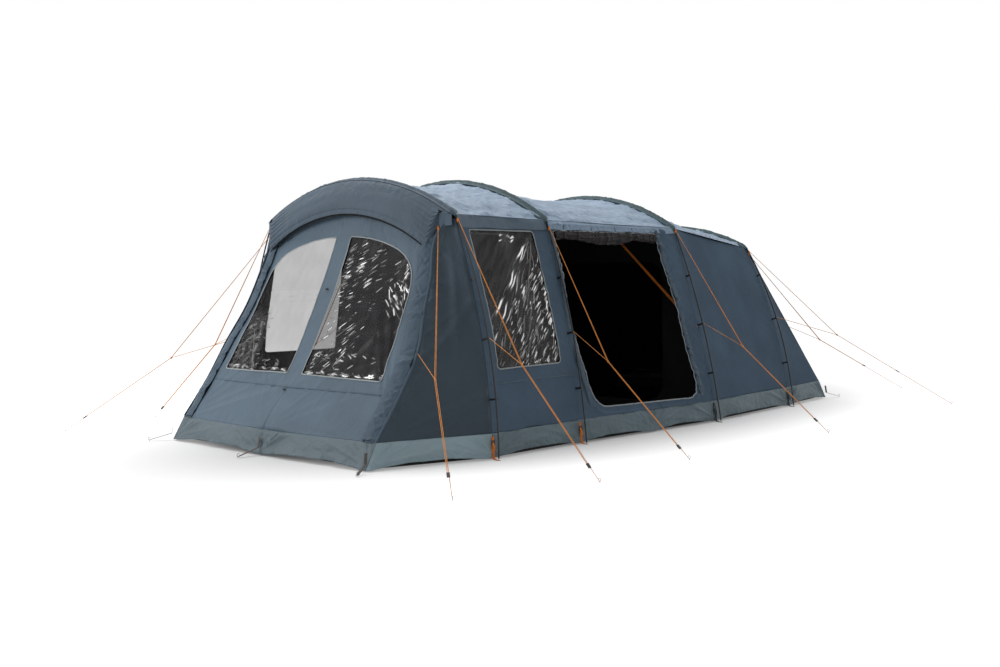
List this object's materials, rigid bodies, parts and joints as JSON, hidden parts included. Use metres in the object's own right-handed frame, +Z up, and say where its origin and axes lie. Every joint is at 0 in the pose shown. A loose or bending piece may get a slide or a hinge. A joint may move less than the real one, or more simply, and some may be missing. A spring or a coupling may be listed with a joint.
{
  "type": "tunnel tent",
  "caption": "Tunnel tent on arched poles with a leaning glazed front, rain hood, open side door, sloping tail, inner room and pegged guylines.",
  "frame": {"origin": "on the ground, in the middle of the groundsheet", "axes": "+X to the right seen from the front, -Y out of the front, +Z up"},
  "size_m": [5.091, 7.6406, 2.04],
  "materials": {
    "pole": "satin",
    "sleeve_cloth": "matte",
    "roof_cloth": "matte",
    "wall_cloth": "matte",
    "front_cloth": "matte",
    "hood_cloth": "matte",
    "window_film": "gloss",
    "band_cloth": "matte",
    "ground_cloth": "matte",
    "inner_cloth": "matte",
    "brace_webbing": "matte",
    "webbing": "matte",
    "guyline": "matte",
    "runner": "satin",
    "steel": "satin",
    "zip": "satin",
    "black_plastic": "satin"
  },
  "bodies": {
    "tent": {"brace_straps": "brace_webbing", "foot_buckles": "black_plastic", "foot_pins": "steel", "front_panel": "front_cloth", "front_wedges": "wall_cloth", "front_window_panes": "window_film", "groundsheet": "ground_cloth", "guy_pegs": "steel", "guyline_a_left": "guyline", "guyline_a_right": "guyline", "guyline_b_left": "guyline", "guyline_b_right": "guyline", "guyline_c_left": "guyline", "guyline_c_right": "guyline", "guyline_d_left": "guyline", "guyline_d_right": "guyline", "guyline_e_left": "guyline", "guyline_e_right": "guyline", "guyline_f_left": "guyline", "guyline_f_right": "guyline", "hem_band": "band_cloth", "hem_pegs": "steel", "hoop_1": "pole", "hoop_2": "pole", "hoop_3": "pole", "hoop_4": "pole", "inner_tent": "inner_cloth", "leg_clips": "black_plastic", "pole_sleeves": "sleeve_cloth", "rain_hood": "hood_cloth", "rear_panel": "wall_cloth", "rear_wedges": "wall_cloth", "roll_toggles": "black_plastic", "rolled_door": "wall_cloth", "roof_1": "roof_cloth", "roof_2": "roof_cloth", "roof_3": "roof_cloth", "side_window_panes": "window_film", "wall_1_left": "wall_cloth", "wall_1_right": "wall_cloth", "wall_2_left": "wall_cloth", "wall_2_right": "wall_cloth", "wall_3_left": "wall_cloth", "wall_3_right": "wall_cloth", "webbing": "webbing", "zip_tracks": "zip"},
    "runner_a_left": {"runner_a_left": "runner"},
    "runner_a_right": {"runner_a_right": "runner"},
    "runner_b_left": {"runner_b_left": "runner"},
    "runner_b_right": {"runner_b_right": "runner"},
    "runner_c_left": {"runner_c_left": "runner"},
    "runner_c_right": {"runner_c_right": "runner"},
    "runner_d_left": {"runner_d_left": "runner"},
    "runner_d_right": {"runner_d_right": "runner"},
    "runner_e_left": {"runner_e_left": "runner"},
    "runner_e_right": {"runner_e_right": "runner"},
    "runner_f_left": {"runner_f_left": "runner"},
    "runner_f_right": {"runner_f_right": "runner"},
    "zip_slider_left": {"zip_slider_left": "zip"},
    "zip_slider_right": {"zip_slider_right": "zip"}
  },
  "joints": [
    {"name": "runner_a_left_slide", "type": "slide", "parent": "tent", "child": "runner_a_left", "axis": [0.6509, 0.5197, 0.5534], "range_m": [0, 0.4]},
    {"name": "runner_a_right_slide", "type": "slide", "parent": "tent", "child": "runner_a_right", "axis": [-0.6509, 0.5197, 0.5534], "range_m": [0, 0.4]},
    {"name": "runner_b_left_slide", "type": "slide", "parent": "tent", "child": "runner_b_left", "axis": [0.7393, 0.1399, 0.6587], "range_m": [0, 0.4]},
    {"name": "runner_b_right_slide", "type": "slide", "parent": "tent", "child": "runner_b_right", "axis": [-0.7393, 0.1399, 0.6587], "range_m": [0, 0.4]},
    {"name": "runner_c_left_slide", "type": "slide", "parent": "tent", "child": "runner_c_left", "axis": [0.7682, 0.088, 0.6342], "range_m": [0, 0.4]},
    {"name": "runner_c_right_slide", "type": "slide", "parent": "tent", "child": "runner_c_right", "axis": [-0.7682, 0.088, 0.6342], "range_m": [0, 0.4]},
    {"name": "runner_d_left_slide", "type": "slide", "parent": "tent", "child": "runner_d_left", "axis": [0.7739, 0.03, 0.6326], "range_m": [0, 0.4]},
    {"name": "runner_d_right_slide", "type": "slide", "parent": "tent", "child": "runner_d_right", "axis": [-0.7739, 0.03, 0.6326], "range_m": [0, 0.4]},
    {"name": "runner_e_left_slide", "type": "slide", "parent": "tent", "child": "runner_e_left", "axis": [0.6575, -0.5451, 0.5201], "range_m": [0, 0.4]},
    {"name": "runner_e_right_slide", "type": "slide", "parent": "tent", "child": "runner_e_right", "axis": [-0.6575, -0.5451, 0.5201], "range_m": [0, 0.4]},
    {"name": "runner_f_left_slide", "type": "slide", "parent": "tent", "child": "runner_f_left", "axis": [0.1603, -0.9118, 0.378], "range_m": [0, 0.4]},
    {"name": "runner_f_right_slide", "type": "slide", "parent": "tent", "child": "runner_f_right", "axis": [-0.1603, -0.9118, 0.378], "range_m": [0, 0.4]},
    {"name": "zip_left_slide", "type": "slide", "parent": "tent", "child": "zip_slider_left", "axis": [0.012, 0.6016, 0.7987], "range_m": [0, 0.22]},
    {"name": "zip_right_slide", "type": "slide", "parent": "tent", "child": "zip_slider_right", "axis": [-0.012, 0.6016, 0.7987], "range_m": [0, 0.22]}
  ]
}
